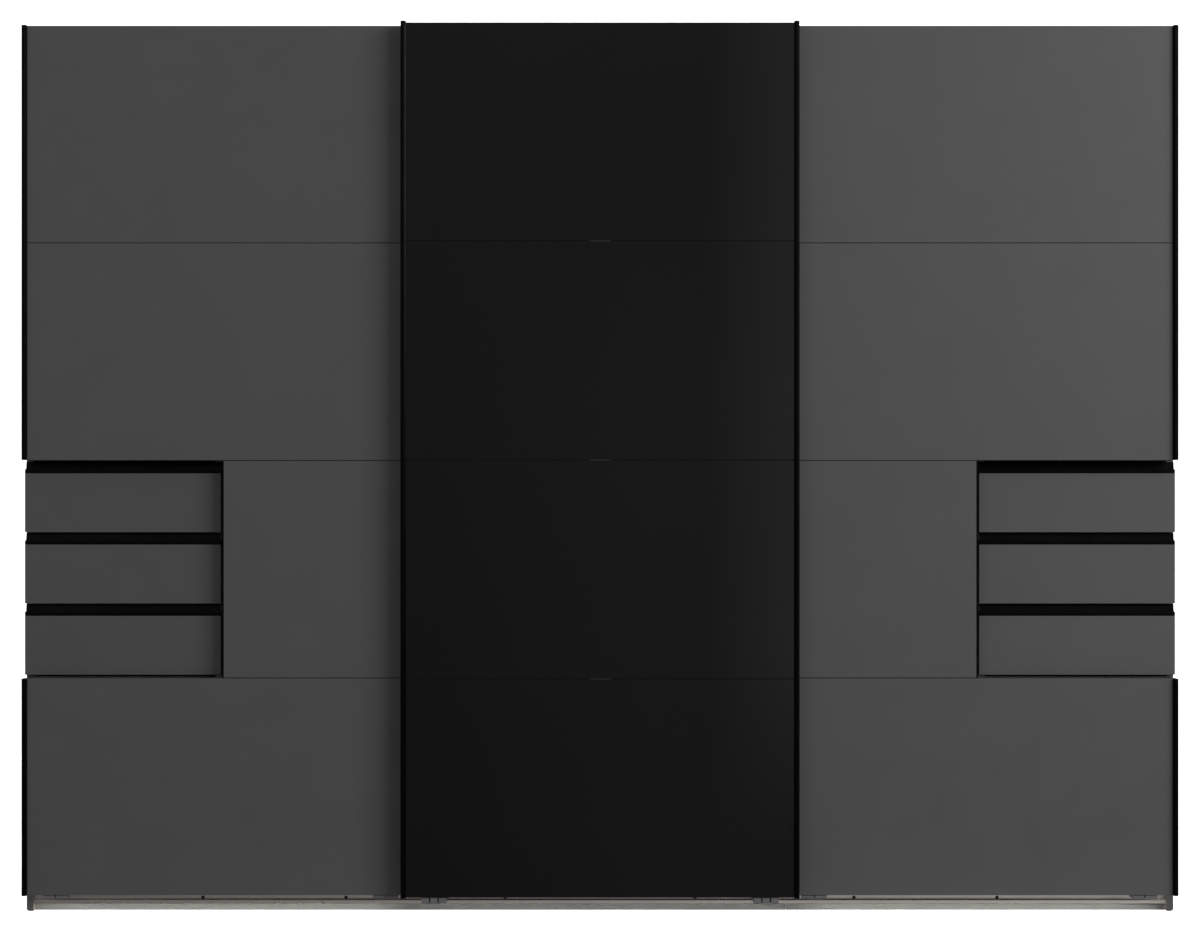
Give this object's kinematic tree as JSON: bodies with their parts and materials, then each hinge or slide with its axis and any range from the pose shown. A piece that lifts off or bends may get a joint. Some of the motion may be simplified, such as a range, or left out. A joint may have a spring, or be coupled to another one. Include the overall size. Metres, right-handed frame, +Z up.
{
  "type": "sliding door wardrobe",
  "caption": "Floating-door wardrobe: matt graphite outer doors, a black glass middle door and external drawers set into notches of the outer doors.",
  "frame": {"origin": "on the floor under the middle of the wardrobe", "axes": "+X along the width to the viewer's right, +Y from the doors back to the wall, +Z up"},
  "size_m": [2.7, 0.65, 2.081],
  "materials": {
    "graphite_board": "matt melamine on chipboard",
    "black_profile": "black anodised",
    "black_plastic": "matt",
    "black_glass": "back-lacquered gloss",
    "carrier_board": "matt",
    "interior_board": "linen-look melamine",
    "back_board": "thin lacquered fibreboard",
    "plinth_board": "matt foil",
    "chrome_tube": "polished",
    "rail_aluminium": "satin anodised",
    "runner_plastic": "satin",
    "roller_plastic": "satin",
    "guide_plastic": "satin",
    "zinc_steel": "zinc plated"
  },
  "bodies": {
    "carcass": {"left_side": "graphite_board", "right_side": "graphite_board", "inner_uprights": "interior_board", "top_boards": "interior_board", "floor_boards": "interior_board", "shelves": "interior_board", "back_panels": "back_board", "back_strips": "back_board", "plinth_boards": "plinth_board", "hanging_rails": "chrome_tube", "running_track": "rail_aluminium", "track_stops": "black_plastic", "bottom_rail": "rail_aluminium", "drawer_runners": "runner_plastic", "floor_glides": "black_plastic", "wall_brackets": "zinc_steel", "fixing_screws": "zinc_steel", "board_fittings": "zinc_steel"},
    "left_door": {"left_door_panels": "graphite_board", "left_door_notch_panel": "graphite_board", "left_door_profiles": "black_profile", "left_door_joint_strips": "black_plastic", "left_door_hangers": "zinc_steel", "left_door_guides": "guide_plastic"},
    "left_outer_roller": {"left_door_outer_roller": "roller_plastic"},
    "left_inner_roller": {"left_door_inner_roller": "roller_plastic"},
    "right_door": {"right_door_panels": "graphite_board", "right_door_notch_panel": "graphite_board", "right_door_profiles": "black_profile", "right_door_joint_strips": "black_plastic", "right_door_hangers": "zinc_steel", "right_door_guides": "guide_plastic"},
    "right_outer_roller": {"right_door_outer_roller": "roller_plastic"},
    "right_inner_roller": {"right_door_inner_roller": "roller_plastic"},
    "middle_door": {"middle_door_glass": "black_glass", "middle_door_carriers": "carrier_board", "middle_door_profiles": "black_profile", "middle_door_clips": "black_plastic", "middle_door_hangers": "zinc_steel", "middle_door_guides": "guide_plastic"},
    "middle_left_roller": {"middle_door_left_roller": "roller_plastic"},
    "middle_right_roller": {"middle_door_right_roller": "roller_plastic"},
    "left_top_drawer": {"left_top_drawer_front": "graphite_board", "left_top_drawer_grip": "black_profile", "left_top_drawer_box": "interior_board"},
    "left_mid_drawer": {"left_mid_drawer_front": "graphite_board", "left_mid_drawer_grip": "black_profile", "left_mid_drawer_box": "interior_board"},
    "left_low_drawer": {"left_low_drawer_front": "graphite_board", "left_low_drawer_grip": "black_profile", "left_low_drawer_box": "interior_board"},
    "right_top_drawer": {"right_top_drawer_front": "graphite_board", "right_top_drawer_grip": "black_profile", "right_top_drawer_box": "interior_board"},
    "right_mid_drawer": {"right_mid_drawer_front": "graphite_board", "right_mid_drawer_grip": "black_profile", "right_mid_drawer_box": "interior_board"},
    "right_low_drawer": {"right_low_drawer_front": "graphite_board", "right_low_drawer_grip": "black_profile", "right_low_drawer_box": "interior_board"}
  },
  "joints": [
    {"name": "left_door_slide", "type": "slide", "parent": "carcass", "child": "left_door", "axis": [1, 0, 0], "range_m": [0, 0.844]},
    {"name": "right_door_slide", "type": "slide", "parent": "carcass", "child": "right_door", "axis": [1, 0, 0], "range_m": [-0.844, 0]},
    {"name": "middle_door_slide", "type": "slide", "parent": "carcass", "child": "middle_door", "axis": [1, 0, 0], "range_m": [-0.887, 0.887]},
    {"name": "left_top_drawer_slide", "type": "slide", "parent": "carcass", "child": "left_top_drawer", "axis": [0, -1, 0], "range_m": [0, 0.35]},
    {"name": "left_mid_drawer_slide", "type": "slide", "parent": "carcass", "child": "left_mid_drawer", "axis": [0, -1, 0], "range_m": [0, 0.35]},
    {"name": "left_low_drawer_slide", "type": "slide", "parent": "carcass", "child": "left_low_drawer", "axis": [0, -1, 0], "range_m": [0, 0.35]},
    {"name": "right_top_drawer_slide", "type": "slide", "parent": "carcass", "child": "right_top_drawer", "axis": [0, 1, 0], "range_m": [-0.35, 0]},
    {"name": "right_mid_drawer_slide", "type": "slide", "parent": "carcass", "child": "right_mid_drawer", "axis": [0, 1, 0], "range_m": [-0.35, 0]},
    {"name": "right_low_drawer_slide", "type": "slide", "parent": "carcass", "child": "right_low_drawer", "axis": [0, 1, 0], "range_m": [-0.35, 0]},
    {"name": "left_outer_roller_spin", "type": "hinge", "parent": "left_door", "child": "left_outer_roller", "pos_m": [-1.273, -0.245, 2.0573], "axis": [0, 1, 0], "range_deg": [0, 4397.1]},
    {"name": "left_inner_roller_spin", "type": "hinge", "parent": "left_door", "child": "left_inner_roller", "pos_m": [-0.501, -0.245, 2.0573], "axis": [0, 1, 0], "range_deg": [0, 4397.1]},
    {"name": "right_outer_roller_spin", "type": "hinge", "parent": "right_door", "child": "right_outer_roller", "pos_m": [1.273, -0.245, 2.0573], "axis": [0, 1, 0], "range_deg": [-4397.1, 0]},
    {"name": "right_inner_roller_spin", "type": "hinge", "parent": "right_door", "child": "right_inner_roller", "pos_m": [0.501, -0.245, 2.0573], "axis": [0, 1, 0], "range_deg": [-4397.1, 0]},
    {"name": "middle_left_roller_spin", "type": "hinge", "parent": "middle_door", "child": "middle_left_roller", "pos_m": [-0.386, -0.215, 2.0573], "axis": [0, 1, 0], "range_deg": [-4621.1, 4621.1]},
    {"name": "middle_right_roller_spin", "type": "hinge", "parent": "middle_door", "child": "middle_right_roller", "pos_m": [0.386, -0.215, 2.0573], "axis": [0, 1, 0], "range_deg": [-4621.1, 4621.1]}
  ],
  "couplings": [
    {"joint": "left_outer_roller_spin", "follows": "left_door_slide", "rad_per_m": 90.909},
    {"joint": "left_inner_roller_spin", "follows": "left_door_slide", "rad_per_m": 90.909},
    {"joint": "right_outer_roller_spin", "follows": "right_door_slide", "rad_per_m": 90.909},
    {"joint": "right_inner_roller_spin", "follows": "right_door_slide", "rad_per_m": 90.909},
    {"joint": "middle_left_roller_spin", "follows": "middle_door_slide", "rad_per_m": 90.909},
    {"joint": "middle_right_roller_spin", "follows": "middle_door_slide", "rad_per_m": 90.909}
  ]
}
